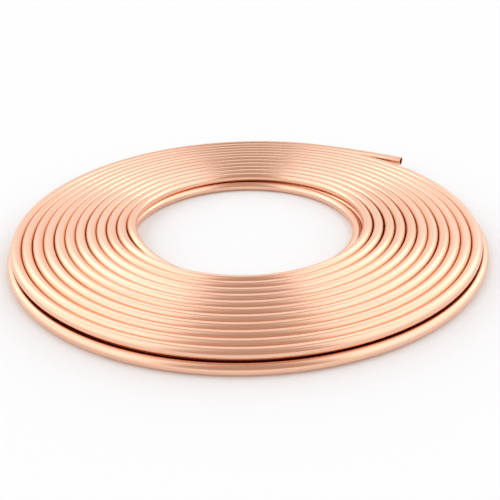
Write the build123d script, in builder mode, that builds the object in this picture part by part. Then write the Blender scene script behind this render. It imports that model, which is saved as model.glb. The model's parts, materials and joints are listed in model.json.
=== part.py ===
# A flat coil of soft copper tube, wound in two layers from one length.
# Both open ends are on the outside; the layers join at the eye of the coil.
# Millimetres, +Z up. The origin is under the middle of the coil, on the floor.
import os
from math import cos, pi, radians, sin, sqrt, tan

from build123d import *

# The tube
tube_diameter = 10.0
tube_wall = 0.7
end_bore_depth = 30.0

# How it is wound: the radius of each layer's first turn, and the upper layer's shift to one side
turn_gap = 0.05
layer_nest = 0.5
turns = 12
upper_eye_radius = 116.0
lower_eye_radius = 119.0
upper_shift_x = 2.7
upper_shift_y = 6.5

# Where the tube leaves the round of the coil, and how far round the eye it drops to the lower layer
upper_end_angle = 65.0
lower_end_angle = 70.0
drop_angle = 70.0

# The free upper end springs out of the round on a wider arc before its straight tip
spring_radius = 560.0
spring_angle = 8.25

# The wound tube is drawn with eight flats, and its underside with a ridge, to keep the many turns light
flats = 8

tube_radius = tube_diameter / 2
flat_half = tube_radius * tan(pi / flats)
pitch = tube_diameter + turn_gap
groove_half = flat_half - turn_gap / 2
half_turn = 180.0
lower_height = tube_radius
upper_height = lower_height + tube_diameter - layer_nest


def outwards(angle):
    return Vector(cos(radians(angle)), sin(radians(angle)), 0)


def onwards(angle):
    """The way that a turn runs, counterclockwise, where it crosses this angle."""
    return Vector(-sin(radians(angle)), cos(radians(angle)), 0)


def layer_section(centre, angle, radii, height, side, crest_offsets):
    """Section of a layer: turns with grooves between them on its open side (+1 up, -1 down).

    Each turn's crest has a corner at each of the offsets from its middle. The layer's back is flat."""
    first, last = radii[0], radii[-1]
    crest = height + side * tube_radius
    groove = height + side * groove_half
    back = height - side * tube_radius
    back_edge, open_edge = height - side * flat_half, height + side * flat_half
    outline = [(first - tube_radius, back_edge), (first - tube_radius, open_edge)]
    for radius in radii:
        outline += [(radius + offset, crest) for offset in crest_offsets]
        if radius < last:
            outline += [(radius + pitch / 2, groove)]
    outline += [(last + tube_radius, open_edge), (last + tube_radius, back_edge)]
    outline += [(last + flat_half, back), (first - flat_half, back)]
    with BuildSketch(Plane(origin=centre, x_dir=outwards(angle), z_dir=-onwards(angle))) as section:
        with BuildLine():
            Polyline(*outline, close=True)
        make_face()
    return section.sketch


def lower_sector(centre, angle, sweep_angle, radii):
    """A sector of the lower layer's turns, counterclockwise from one angle on."""
    section = layer_section(centre, angle, radii, lower_height, -1, [0])
    revolve(section, axis=Axis(centre, Vector(0, 0, 1)), revolution_arc=sweep_angle)


def upper_sector(centre, angle, sweep_angle, radii):
    """A sector of the upper layer's turns, clockwise from one angle on."""
    section = layer_section(centre, angle, radii, upper_height, 1, [-flat_half, flat_half])
    revolve(section, axis=Axis(centre, Vector(0, 0, -1)), revolution_arc=sweep_angle)


def tube_end(start, way):
    """The last stretch of tube: straight, on from the coil's outside, open at its end."""
    with BuildSketch(Plane(origin=start, z_dir=way)) as outside:
        Circle(tube_radius)
    extrude(outside.sketch, amount=end_bore_depth)
    with BuildSketch(Plane(origin=start, z_dir=way)) as bore:
        Circle(tube_radius - tube_wall)
    extrude(bore.sketch, amount=end_bore_depth, mode=Mode.SUBTRACT)


def tube_bend(start, start_way, end, end_way):
    """Tube that runs on from one place and way to another: two arcs that meet in line."""
    chord = end - start
    bend = 2 * (start_way.dot(end_way) - 1)
    slope = -2 * chord.dot(start_way + end_way)
    reach = (-slope - sqrt(slope**2 - 4 * bend * chord.dot(chord))) / (2 * bend)
    before = start + start_way * reach
    after = end - end_way * reach
    middle = (before + after) * 0.5
    with BuildLine() as path:
        TangentArc(start, middle, tangent=start_way)
        TangentArc(middle, end, tangent=after - before)
    with BuildSketch(Plane(origin=start, x_dir=Vector(0, 0, 1), z_dir=start_way)) as outside:
        RegularPolygon(tube_radius, flats)
    sweep(outside.sketch, path=path.line)


lower_radii = [lower_eye_radius + pitch * turn for turn in range(turns)]
lower_wide = [radius + pitch / 2 for radius in lower_radii]
upper_radii = [upper_eye_radius + pitch * turn for turn in range(turns)]
upper_wide = [radius + pitch / 2 for radius in upper_radii]

# Two half turns whose centres lie half a pitch apart make each layer run on as one spiral.
lower_middle = Vector(0, 0, 0)
lower_near = lower_middle - outwards(lower_end_angle) * (pitch / 4)
lower_far = lower_middle + outwards(lower_end_angle) * (pitch / 4)
upper_middle = Vector(upper_shift_x, upper_shift_y, 0)
upper_near = upper_middle - outwards(upper_end_angle) * (pitch / 4)
upper_far = upper_middle + outwards(upper_end_angle) * (pitch / 4)
lower_up = Vector(0, 0, lower_height)
upper_up = Vector(0, 0, upper_height)

# The inside turn of the upper layer lies against its neighbour, leaves for the eye, and lands half a turn
# before the angle at which the lower layer ends.
land_angle = lower_end_angle - half_turn
leave_angle = land_angle - drop_angle
inside_angle = leave_angle + 2 * half_turn - upper_end_angle
inside_radius = upper_wide[1] - tube_diameter
landed_radius = lower_wide[0] - pitch

# The upper end, from the round through its wider arc to the straight tip
round_end = upper_far + outwards(upper_end_angle) * upper_wide[-1] + upper_up
spring_end_angle = upper_end_angle - spring_angle
spring_end = round_end + (outwards(spring_end_angle) - outwards(upper_end_angle)) * spring_radius

with BuildPart() as tube_coil:
    # Lower layer, growing counterclockwise from where the tube lands in the eye
    lower_sector(lower_near, lower_end_angle, half_turn, lower_radii)
    lower_sector(lower_far, land_angle, half_turn, [landed_radius, *lower_wide])
    tube_end(lower_far + outwards(lower_end_angle) * lower_wide[-1] + lower_up, onwards(lower_end_angle))

    # Upper layer, growing clockwise from where the tube leaves for the eye
    upper_sector(upper_near, upper_end_angle, half_turn, upper_radii[1:])
    upper_sector(upper_far, upper_end_angle - half_turn, half_turn, upper_wide[1:])
    upper_sector(upper_far, leave_angle, inside_angle, [inside_radius])
    tube_bend(round_end, -onwards(upper_end_angle), spring_end, -onwards(spring_end_angle))
    tube_end(spring_end, -onwards(spring_end_angle))

    # From the upper layer down to the lower one, inside the eye
    tube_bend(
        upper_far + outwards(leave_angle) * inside_radius + upper_up,
        onwards(leave_angle),
        lower_far + outwards(land_angle) * landed_radius + lower_up,
        onwards(land_angle),
    )

# The middle of the coil's box goes over the origin.
box = tube_coil.part.bounding_box()
coil = tube_coil.part.moved(Location((-box.center().X, -box.center().Y, -box.min.Z)))
print("solids", len(coil.solids()), "volume", coil.volume, "moved by", -box.center().X, -box.center().Y)

coil.label = "tube_coil"
os.makedirs("parts", exist_ok=True)
export_step(coil, "parts/tube_coil.step")
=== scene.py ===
# %% [markdown]
# A flat coil of copper tube. Soft copper tube for plumbing is drawn, annealed and wound into a flat coil
# at the mill. This one is a single length in two layers: it winds in from the open end of the upper
# layer, drops to the floor inside the eye, and winds out again underneath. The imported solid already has
# its size and place. What it lacks is the round section of every turn, the thin wall at the open ends and
# the look of drawn metal, and those are made here.

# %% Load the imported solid
import json
from math import atan2, cos, degrees, floor, pi, radians, sin

import bmesh
import bpy
from mathutils import Matrix, Vector


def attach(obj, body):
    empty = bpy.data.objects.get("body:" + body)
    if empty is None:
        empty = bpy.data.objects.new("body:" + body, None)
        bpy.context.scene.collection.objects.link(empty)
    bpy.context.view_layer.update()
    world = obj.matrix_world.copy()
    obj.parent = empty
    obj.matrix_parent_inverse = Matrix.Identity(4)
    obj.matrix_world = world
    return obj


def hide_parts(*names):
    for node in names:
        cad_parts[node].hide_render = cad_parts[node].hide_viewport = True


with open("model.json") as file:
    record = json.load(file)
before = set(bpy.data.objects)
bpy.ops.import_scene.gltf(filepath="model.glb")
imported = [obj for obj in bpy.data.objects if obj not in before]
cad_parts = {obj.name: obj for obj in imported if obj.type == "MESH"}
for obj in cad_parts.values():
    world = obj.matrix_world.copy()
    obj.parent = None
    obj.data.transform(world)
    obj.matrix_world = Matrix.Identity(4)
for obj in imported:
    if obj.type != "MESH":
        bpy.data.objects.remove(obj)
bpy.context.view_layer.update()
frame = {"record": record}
MM = 0.001

# %% [markdown]
# The camera comes first, because every later choice is judged through it. It stands in front of the coil
# and looks down at it from about arm's length. A short list of plain values is easier to adjust than a
# matrix, so the place, the point it looks at, the roll and the lens are named, and the matrix is worked
# out from them.

# %% Camera
camera_place = Vector((-2.5, -600.7, 296.9)) * MM
camera_aim = Vector((1.2, -41.8, 0.0)) * MM
camera_roll = radians(-1.25)
camera_lens = 46.09
camera_sensor = 36.0

look = (camera_aim - camera_place).normalized()
level_right = look.cross(Vector((0, 0, 1))).normalized()
level_up = level_right.cross(look)
right = level_right * cos(camera_roll) + level_up * sin(camera_roll)
up = right.cross(look)
camera_data = bpy.data.cameras.new("camera")
camera_data.lens = camera_lens
camera_data.sensor_width = camera_sensor
camera = bpy.data.objects.new("camera", camera_data)
camera.matrix_world = Matrix.Translation(camera_place) @ Matrix((right, up, -look)).transposed().to_4x4()
bpy.context.scene.collection.objects.link(camera)
bpy.context.scene.camera = camera
print("camera stands", round(camera_place.length / MM), "mm from the middle of the coil")

# %% [markdown]
# Every tree of nodes below, for shapes and for materials, is built with one small function. It adds a
# node, sets its properties, and gives each input either a value or a link from another node.


# %% One function for all nodes
def add_node(tree, kind, sockets=None, **settings):
    node = tree.nodes.new(kind)
    for name, value in settings.items():
        setattr(node, name, value)
    for key, value in (sockets or {}).items():
        if isinstance(value, bpy.types.NodeSocket):
            tree.links.new(value, node.inputs[key])
        else:
            node.inputs[key].default_value = value
    return node


def linear(hex_colour):
    """An sRGB hex colour as the linear colour that Blender's sockets hold."""
    shares = [int(hex_colour[i : i + 2], 16) / 255 for i in (1, 3, 5)]
    return (*[s / 12.92 if s <= 0.04045 else ((s + 0.055) / 1.055) ** 2.4 for s in shares], 1.0)


# %% [markdown]
# Bright drawn copper is pulled through a die, so it has faint straight lines along its length, and it was
# annealed in a clean furnace, so it is bright and a little satin. A metal shows what stands round it, so
# most of its look comes from the light. The material adds the rest: two near tones of copper in long
# streaks, gloss that changes a little from streak to streak, and shallow drawing lines. Where turns lie
# against each other, and inside the open bores, a dull red-brown painted shade stands in for the shadow
# that falls there. The tube carries three attributes, its place round the section, its place along the
# length and its share of painted shade, so that all of this follows every turn.

# %% Bright drawn copper
streak_width = 0.9 * MM  # real drawing lines are finer; these are as coarse as they need to be to show
streak_length = 140.0 * MM
patch_width = 9.0 * MM
patch_length = 260.0 * MM
line_depth = 0.05 * MM
line_strength = 0.12
streak_detail = 2.0
patch_detail = 3.0
noise_roughness = 0.55
streak_span = (0.3, 0.7)
tone_span = (0.7, 1.3)
gloss_span = (0.2, 0.28)
unshaded_tones = ("#f1bc9f", "#f8cdb3")
# painted shade: the dull red-brown mixed in where turns lie against each other and in the bores
painted_shade_tone = "#a04a34"


def drawn_copper():
    material = bpy.data.materials.new("bright_drawn_copper")
    material.use_nodes = True
    tree = material.node_tree
    tree.nodes.clear()
    ring = add_node(tree, "ShaderNodeAttribute", attribute_name="ring")
    along = add_node(tree, "ShaderNodeAttribute", attribute_name="along")
    painted_shade = add_node(tree, "ShaderNodeAttribute", attribute_name="painted_shade")

    noises = []
    patterns = ((streak_width, streak_length, streak_detail), (patch_width, patch_length, patch_detail))
    for width, length, detail in patterns:
        drawn = add_node(
            tree, "ShaderNodeMath", {0: along.outputs["Fac"], 1: width / length}, operation="MULTIPLY"
        )
        lengthwise = add_node(tree, "ShaderNodeCombineXYZ", {"Z": drawn.outputs[0]})
        place = add_node(
            tree,
            "ShaderNodeVectorMath",
            {0: ring.outputs["Vector"], 1: lengthwise.outputs[0]},
            operation="ADD",
        )
        noise = add_node(
            tree,
            "ShaderNodeTexNoise",
            {
                "Vector": place.outputs[0],
                "Scale": 1 / width,
                "Detail": detail,
                "Roughness": noise_roughness,
            },
        )
        noises.append(noise.outputs[0])
    streaks, patches = noises

    tone = add_node(tree, "ShaderNodeMath", {0: streaks, 1: patches}, operation="ADD")
    share = add_node(
        tree,
        "ShaderNodeMapRange",
        {"Value": tone.outputs[0], "From Min": tone_span[0], "From Max": tone_span[1]},
    )
    unshaded_tone = add_node(
        tree,
        "ShaderNodeMix",
        {"Factor": share.outputs[0], "A": linear(unshaded_tones[0]), "B": linear(unshaded_tones[1])},
        data_type="RGBA",
    )
    # painted shade: the copper tone darkens to the red-brown by the tube's share of painted shade
    colour = add_node(
        tree,
        "ShaderNodeMix",
        {"Factor": painted_shade.outputs["Fac"], "A": unshaded_tone.outputs[2], "B": linear(painted_shade_tone)},
        data_type="RGBA",
    )
    gloss = add_node(
        tree,
        "ShaderNodeMapRange",
        {
            "Value": streaks,
            "From Min": streak_span[0],
            "From Max": streak_span[1],
            "To Min": gloss_span[0],
            "To Max": gloss_span[1],
        },
    )
    lines = add_node(
        tree, "ShaderNodeBump", {"Height": streaks, "Strength": line_strength, "Distance": line_depth}
    )
    metal = add_node(
        tree,
        "ShaderNodeBsdfPrincipled",
        {
            "Base Color": colour.outputs[2],
            "Metallic": 1.0,
            "Roughness": gloss.outputs[0],
            "Normal": lines.outputs[0],
        },
    )
    add_node(tree, "ShaderNodeOutputMaterial", {"Surface": metal.outputs[0]})
    return material


copper = drawn_copper()
print("material:", copper.name, "with", len(copper.node_tree.nodes), "nodes")

# %% [markdown]
# The line of the tube. Each layer is a row of half turns: every half turn has a radius half a pitch less
# than the one outside it, and the centres of the two sides lie half a pitch apart, so the arcs meet in
# line and run on as a spiral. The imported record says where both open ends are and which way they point,
# so the line is worked out back from there: a straight tip, then for the free upper end a wider arc that
# springs out of the round, then the turns.

# %% The two layers
tube_diameter = 10.0 * MM
pitch = 10.05 * MM
upper_end_radius = 231.575 * MM
lower_end_radius = 234.575 * MM
spring_radius = 560.0 * MM
spring_angle = 8.25
half_turn = 180.0
full_turn = 360.0

mounts = {mount["name"]: mount for mount in frame["record"]["mounts"]}


def outwards(angle):
    return Vector((cos(radians(angle)), sin(radians(angle)), 0))


class Layer:
    """A layer, known from its open end; hand is +1 where the tube leaves it counterclockwise."""

    def __init__(self, mount, end_radius, hand, spring_angle=0.0):
        self.tip = Vector(mount["pos_m"])
        self.way = Vector(mount["axis"]).normalized()
        self.straight = mount["dims"]["length_mm"] * MM
        self.radius = end_radius
        self.hand = hand
        self.spring_angle = spring_angle
        self.tip_angle = degrees(atan2(-self.way.x * hand, self.way.y * hand))
        self.angle = self.tip_angle - hand * spring_angle
        self.spring_hub = self.tip - self.way * self.straight - outwards(self.tip_angle) * spring_radius
        self.centre = self.spring_hub + outwards(self.angle) * (spring_radius - end_radius)

    def spring(self, share):
        """The line of the tube in the wider arc, from the straight tip to the round."""
        angle = self.tip_angle - self.hand * self.spring_angle * share
        return self.spring_hub + outwards(angle) * spring_radius

    def turn(self, back):
        """The line of the tube this many degrees back from where it leaves the round."""
        half = floor(back / half_turn)
        centre = self.centre - outwards(self.angle) * (pitch / 2 if half % 2 else 0)
        return centre + outwards(self.angle - self.hand * back) * (self.radius - half * pitch / 2)


upper = Layer(mounts["upper_tube_end"], upper_end_radius, -1, spring_angle)
lower = Layer(mounts["lower_tube_end"], lower_end_radius, 1)
for name, layer in (("upper", upper), ("lower", lower)):
    print(name, "layer: round ends at", round(layer.angle, 2), "degrees, centre", layer.centre / MM)

# %% [markdown]
# One line for the whole length. In the eye a smooth step takes the tube from the upper layer to the lower
# one, and swings it in a little on the way, clear of its neighbours. A coil is wound fast and handled, so
# no turn is a true spiral: each wanders a few tenths of a millimetre, which opens some gaps between turns
# and closes others. Sine waves that don't fit a whole turn do that, and they fade out in the outside
# turns, where the size is fixed. Slack gathers too. In the upper layer the inside turns hang into the eye
# at the back and the right, and the outside turns have moved out at the front. In the lower layer all
# turns have moved in a little at the front.

# %% One line for the whole length
whole_turns = 24
leave_turns = 11
leave_angle = 115.0
drop_angle = 70.0
drop_swing = 0.4 * MM
wander = 0.2 * MM
wander_shares = ((0.37, 0.6), (0.83, 0.4))  # each wave's rate, and its share of the wander
lower_slack = 2.8 * MM
back_slack = 8.2 * MM
right_slack = 3.2 * MM
front_slack = 2.0 * MM
slack_lean = 0.3
slack_angle = 5.0 * full_turn
step_angle = 2.5
spring_steps = 6
lip_depth = 0.3 * MM

run_angle = whole_turns * full_turn + lower.angle - upper.angle
drop_start = leave_turns * full_turn + leave_angle


def eased(share):
    share = min(max(share, 0), 1)
    return share * share * (3 - 2 * share)


def leaning(share):
    """How far slack has gathered on one side: 1 in the middle of that side, and nothing on the other."""
    return (max(share + slack_lean, 0) / (1 + slack_lean)) ** 2


def line_point(turned):
    """The line of the tube, this many degrees on from where the upper end leaves the round."""
    dropped = (turned - drop_start) / drop_angle
    point = upper.turn(turned).lerp(lower.turn(run_angle - turned), eased(dropped))
    out = outwards(upper.angle + turned)
    inside = eased(min(turned, run_angle - turned) / full_turn - 1)
    waves = sum(share * sin(radians(rate * turned)) for rate, share in wander_shares)
    sideways = wander * inside * waves
    sideways -= drop_swing * sin(pi * min(max(dropped, 0), 1))
    inner_share = max(1 - (drop_start - turned) / slack_angle, 0) * (1 - eased(dropped))
    outer_share = max(1 - turned / slack_angle, 0)
    sideways -= inner_share * (back_slack * leaning(out.y) + right_slack * leaning(out.x))
    sideways += outer_share * front_slack * leaning(-out.y)
    sideways -= eased(dropped) * lower_slack * leaning(-out.y)
    return point + out * sideways


steps = round(run_angle / step_angle)
line = [upper.tip - upper.way * lip_depth]
line += [upper.spring(step / spring_steps) for step in range(spring_steps)]
line += [line_point(run_angle * step / steps) for step in range(steps + 1)]
line += [lower.tip - lower.way * lip_depth]
length = sum((b - a).length for a, b in zip(line, line[1:]))
print("line of the tube:", len(line), "points,", round(length, 2), "m")

# %% [markdown]
# A tube is a circle carried along a line, which is what the Curve to Mesh node does, so the tree below is
# short. It stores two of the attributes that the material reads, and its inputs are the sizes that a tube
# has. The third, the share of painted shade for the gaps between turns, depends on what lies beside each
# stretch of tube, so it is worked out afterwards, point by point.

# %% Tube along the line
tube_sides = 24
shut_edge = 0.08  # how high on the section the painted shade ends, in radii, where a neighbour lies alongside
free_edge = -1.2  # below the whole section, so a free side has no painted shade
painted_shade_fade = 0.2
outside_turn = 2 * pi * upper_end_radius
inside_turn = outside_turn / 2  # the eye is about half as wide as the coil
open_turns = 2.1
drop_length = 110.0 * MM
tip_length = 90.0 * MM
drop_along = sum((b - a).length for a, b in zip(line, line[1:]) if a.z > (upper.tip.z + lower.tip.z) / 2)


def tube_tree():
    tree = bpy.data.node_groups.new("tube_along_line", "GeometryNodeTree")
    inputs = {"Line": "Geometry", "Tube diameter": "Float", "Sides": "Int", "Finish": "Material"}
    for name, kind in inputs.items():
        tree.interface.new_socket(name, in_out="INPUT", socket_type="NodeSocket" + kind)
    tree.interface.new_socket("Tube", in_out="OUTPUT", socket_type="NodeSocketGeometry")
    given = add_node(tree, "NodeGroupInput").outputs
    radius = add_node(tree, "ShaderNodeMath", {0: given["Tube diameter"], 1: 2.0}, operation="DIVIDE")
    circle = add_node(
        tree, "GeometryNodeCurvePrimitiveCircle", {"Resolution": given["Sides"], "Radius": radius.outputs[0]}
    )
    on_circle = add_node(tree, "GeometryNodeInputPosition")
    section = add_node(
        tree,
        "GeometryNodeStoreNamedAttribute",
        {"Geometry": circle.outputs[0], "Name": "ring", "Value": on_circle.outputs[0]},
        data_type="FLOAT_VECTOR",
    )
    on_line = add_node(tree, "GeometryNodeSplineParameter")
    measured = add_node(
        tree,
        "GeometryNodeStoreNamedAttribute",
        {"Geometry": given["Line"], "Name": "along", "Value": on_line.outputs["Length"]},
        data_type="FLOAT",
    )
    tube = add_node(
        tree, "GeometryNodeCurveToMesh", {"Curve": measured.outputs[0], "Profile Curve": section.outputs[0]}
    )
    smooth = add_node(tree, "GeometryNodeSetShadeSmooth", {"Geometry": tube.outputs[0]})
    real = add_node(tree, "GeometryNodeRealizeInstances", {"Geometry": smooth.outputs[0]})
    finished = add_node(
        tree, "GeometryNodeSetMaterial", {"Geometry": real.outputs[0], "Material": given["Finish"]}
    )
    add_node(tree, "NodeGroupOutput", {"Tube": finished.outputs[0]})
    return tree


def swept_tube(points):
    curve = bpy.data.curves.new("line_of_tube", "CURVE")
    curve.dimensions = "3D"
    curve.twist_mode = "Z_UP"
    spline = curve.splines.new("POLY")
    spline.points.add(len(points) - 1)
    spline.points.foreach_set("co", [value for point in points for value in (*point, 1.0)])
    holder = bpy.data.objects.new("line_of_tube", curve)
    bpy.context.scene.collection.objects.link(holder)
    modifier = holder.modifiers.new("tube", "NODES")
    modifier.node_group = tube_tree()
    sizes = {"Tube diameter": tube_diameter, "Sides": tube_sides, "Finish": copper}
    for socket in modifier.node_group.interface.items_tree:
        if socket.name in sizes:
            modifier[socket.identifier] = sizes[socket.name]
    evaluated = holder.evaluated_get(bpy.context.evaluated_depsgraph_get())
    mesh = bpy.data.meshes.new_from_object(evaluated)
    bpy.data.objects.remove(holder)
    return mesh


def put_painted_shade(mesh):
    """Painted shade on the faces of the tube that lie against another turn or the other layer, where shadow
    falls between them.
    """
    count = len(mesh.vertices)
    rings = [0.0] * (3 * count)
    places = [0.0] * count
    mesh.attributes["ring"].data.foreach_get("vector", rings)
    mesh.attributes["along"].data.foreach_get("value", places)
    radius = tube_diameter / 2
    painted_shade = []
    for outward, downward, along in zip(rings[0::3], rings[1::3], places):
        open_above = along < drop_along + open_turns * inside_turn
        outside = along < outside_turn or along > length - outside_turn
        inside = abs(along - drop_along) < inside_turn
        alone = abs(along - drop_along) < drop_length or min(along, length - along) < tip_length
        free = alone or (outside if outward > 0 else inside)
        bare = (-downward if open_above else downward) / radius
        # painted shade: full where the section lies in a gap beside a neighbour, none on free sides
        painted_shade.append(1 - eased((bare - (free_edge if free else shut_edge)) / painted_shade_fade))
    mesh.attributes.new("painted_shade", "FLOAT", "POINT").data.foreach_set("value", painted_shade)
    return sum(painted_shade) / count


coil_mesh = swept_tube(line)
painted_shade_share = put_painted_shade(coil_mesh)
print("share of the tube with film:", round(painted_shade_share, 2))
print("tube:", len(coil_mesh.polygons), "faces, attributes", [a.name for a in coil_mesh.attributes])

# %% [markdown]
# Both ends were cut with a wheel, which turns the edge in a little, and the wall there is thin. Each end
# gets its edge, its lip and a bore, by pulling the open loop of edges through a short list of depths and
# radii. The bore gets full painted shade, for the shadow inside the tube.

# %% Open ends
tube_wall = 0.7 * MM
bore_radius = tube_diameter / 2 - tube_wall
edge_turn = 0.12 * MM
edge_steps = 3
sharp_angle = radians(50)


def open_end(shape, layer):
    painted_shade = shape.verts.layers.float["painted_shade"]
    loop = [
        edge
        for edge in shape.edges
        if edge.is_boundary and (edge.verts[0].co - layer.tip).length < tube_diameter
    ]
    rings = (
        (lip_depth / edge_steps, tube_diameter / 2 - edge_turn / edge_steps),
        (0.0, tube_diameter / 2 - edge_turn),
        (0.0, bore_radius + edge_turn / edge_steps),
        (lip_depth / edge_steps, bore_radius),
        (layer.straight, bore_radius),
    )
    for depth, radius in rings:
        pulled = bmesh.ops.extrude_edge_only(shape, edges=loop)["geom"]
        for vert in [item for item in pulled if isinstance(item, bmesh.types.BMVert)]:
            spoke = vert.co - layer.tip
            spoke -= layer.way * spoke.dot(layer.way)
            vert.co = layer.tip - layer.way * depth + spoke.normalized() * radius
            # painted shade: the bore gets the full red-brown, for the shadow inside the tube
            vert[painted_shade] = 1.0 if radius == bore_radius else 0.0
        loop = [item for item in pulled if isinstance(item, bmesh.types.BMEdge) and item.is_boundary]
    bmesh.ops.contextual_create(shape, geom=loop)


shape = bmesh.new()
shape.from_mesh(coil_mesh)
open_end(shape, upper)
open_end(shape, lower)
bmesh.ops.recalc_face_normals(shape, faces=shape.faces)
for face in shape.faces:
    face.smooth = True
loose_edges = sum(edge.is_boundary for edge in shape.edges)
shape.to_mesh(coil_mesh)
shape.free()
coil_mesh.set_sharp_from_angle(angle=sharp_angle)
coil = bpy.data.objects.new("copper_tube", coil_mesh)
bpy.context.scene.collection.objects.link(coil)
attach(coil, "root")
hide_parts("tube_coil")
print("coil:", len(coil_mesh.polygons), "faces, open edges", loose_edges)

# %% [markdown]
# The floor is a plain white sheet that runs out past the view, so the coil has something to lie on and a
# shadow. Paper-white needs no more light: for the camera, and for what the metal mirrors, the sheet glows
# a little by itself. That lifts it to white and leaves the light on the coil and the shadow under it as
# they are.

# %% Floor
floor_half = 8.0
floor_glow = 0.03
floor_tone = "#f3f6f8"


def pale_floor():
    mesh = bpy.data.meshes.new("floor")
    corners = [(x * floor_half, y * floor_half, 0) for x, y in ((-1, -1), (1, -1), (1, 1), (-1, 1))]
    mesh.from_pydata(corners, [], [(0, 1, 2, 3)])
    material = bpy.data.materials.new("pale_floor")
    material.use_nodes = True
    tree = material.node_tree
    tree.nodes.clear()
    path = add_node(tree, "ShaderNodeLightPath")
    seen = path.outputs["Is Camera Ray"]
    for ray in ("Is Glossy Ray", "Is Transmission Ray"):
        either = add_node(tree, "ShaderNodeMath", {0: seen, 1: path.outputs[ray]}, operation="MAXIMUM")
        seen = either.outputs[0]
    glow = add_node(tree, "ShaderNodeMath", {0: seen, 1: floor_glow}, operation="MULTIPLY")
    lift = add_node(tree, "ShaderNodeEmission", {"Color": linear("#ffffff"), "Strength": glow.outputs[0]})
    paint = add_node(tree, "ShaderNodeBsdfDiffuse", {"Color": linear(floor_tone)})
    both = add_node(tree, "ShaderNodeAddShader", {0: paint.outputs[0], 1: lift.outputs[0]})
    add_node(tree, "ShaderNodeOutputMaterial", {"Surface": both.outputs[0]})
    mesh.materials.append(material)
    sheet = bpy.data.objects.new("floor", mesh)
    bpy.context.scene.collection.objects.link(sheet)
    return sheet


pale_floor()
print("floor:", 2 * floor_half, "m wide")

# %% [markdown]
# Metal needs something to reflect. The light here is a white tent: bright walls left and right, a bright
# back, and an opening that runs from overhead to the front, where the camera looks in. The opening is
# darker, and it is what makes the middle of the coil browner than its sides. Near the horizon the tent is
# plain white, so that low views have a white background too. It is a world of smooth steps, so the light
# is soft.

# %% Light
wall_level = 1.5
back_level = 1.03
opening_level = 0.53
wall_shares = (0.0, 0.42)
wall_slant = -0.5
opening_way = (0.0, -0.6, 0.8)
opening_shares = (0.18, 0.66)
horizon_level = 1.0
horizon_shares = (0.13, 0.25)
opening_tint = "#ffc9a4"
wall_tint = "#ffffff"


def light_tent():
    world = bpy.data.worlds.new("light_tent")
    world.use_nodes = True
    tree = world.node_tree
    tree.nodes.clear()
    way = add_node(tree, "ShaderNodeTexCoord").outputs["Generated"]
    parts = add_node(tree, "ShaderNodeSeparateXYZ", {0: way})
    across = add_node(tree, "ShaderNodeMath", {0: parts.outputs["X"]}, operation="ABSOLUTE")
    lengthwise = add_node(tree, "ShaderNodeMath", {0: parts.outputs["Y"]}, operation="ABSOLUTE")
    sideways = add_node(
        tree,
        "ShaderNodeMath",
        {0: lengthwise.outputs[0], 1: wall_slant, 2: across.outputs[0]},
        operation="MULTIPLY_ADD",
    )
    facing = add_node(tree, "ShaderNodeVectorMath", {0: way, 1: opening_way}, operation="DOT_PRODUCT")
    steps = []
    for value, (start, end) in (
        (facing.outputs["Value"], opening_shares),
        (sideways.outputs[0], wall_shares),
        (parts.outputs["Z"], horizon_shares),
    ):
        step = add_node(
            tree,
            "ShaderNodeMapRange",
            {"Value": value, "From Min": start, "From Max": end},
            interpolation_type="SMOOTHSTEP",
        )
        steps.append(step.outputs[0])
    opening, wall, above = steps
    middle = add_node(
        tree, "ShaderNodeMapRange", {"Value": opening, "To Min": back_level, "To Max": opening_level}
    )
    tent_level = add_node(
        tree, "ShaderNodeMapRange", {"Value": wall, "To Min": middle.outputs[0], "To Max": wall_level}
    )
    level = add_node(
        tree, "ShaderNodeMapRange", {"Value": above, "To Min": horizon_level, "To Max": tent_level.outputs[0]}
    )
    tint = add_node(
        tree,
        "ShaderNodeMix",
        {"Factor": level.outputs[0], "A": linear(opening_tint), "B": linear(wall_tint)},
        data_type="RGBA",
    )
    tent = add_node(tree, "ShaderNodeBackground", {"Color": tint.outputs[2], "Strength": level.outputs[0]})
    add_node(tree, "ShaderNodeOutputWorld", {"Surface": tent.outputs[0]})
    return world


bpy.context.scene.world = light_tent()
bpy.context.scene.view_settings.view_transform = "Standard"
print("light: walls", wall_level, "opening", opening_level)

# %% [markdown]
# Two soft panels hang upright behind the coil, left and right, and give its sides their pale sheen. On
# the floor they would show an edge, so light linking gives them to the coil alone, and the camera doesn't
# see them.

# %% Panels behind the coil
panel_level = 0.55
panel_places = ((-465.0, 300.0, 455.0), (465.0, 300.0, 455.0))
panel_width = 700.0 * MM
panel_height = 400.0 * MM
panel_tilt = radians(-90)
level_watts = 4.0  # what a square metre of panel needs for each unit of level

lit_by_panels = bpy.data.collections.new("lit_by_panels")
lit_by_panels.objects.link(coil)


def light_panel(place):
    """A soft panel that hangs upright behind the coil and faces forwards."""
    light = bpy.data.lights.new("light_panel", "AREA")
    light.shape = "RECTANGLE"
    light.size = panel_width
    light.size_y = panel_height
    light.energy = level_watts * panel_width * panel_height * panel_level
    panel = bpy.data.objects.new("light_panel", light)
    panel.matrix_world = Matrix.Translation(Vector(place) * MM) @ Matrix.Rotation(panel_tilt, 4, "X")
    panel.visible_camera = False
    panel.light_linking.receiver_collection = lit_by_panels
    bpy.context.scene.collection.objects.link(panel)


for place in panel_places:
    light_panel(place)
print("panels:", len(panel_places), "at level", panel_level)
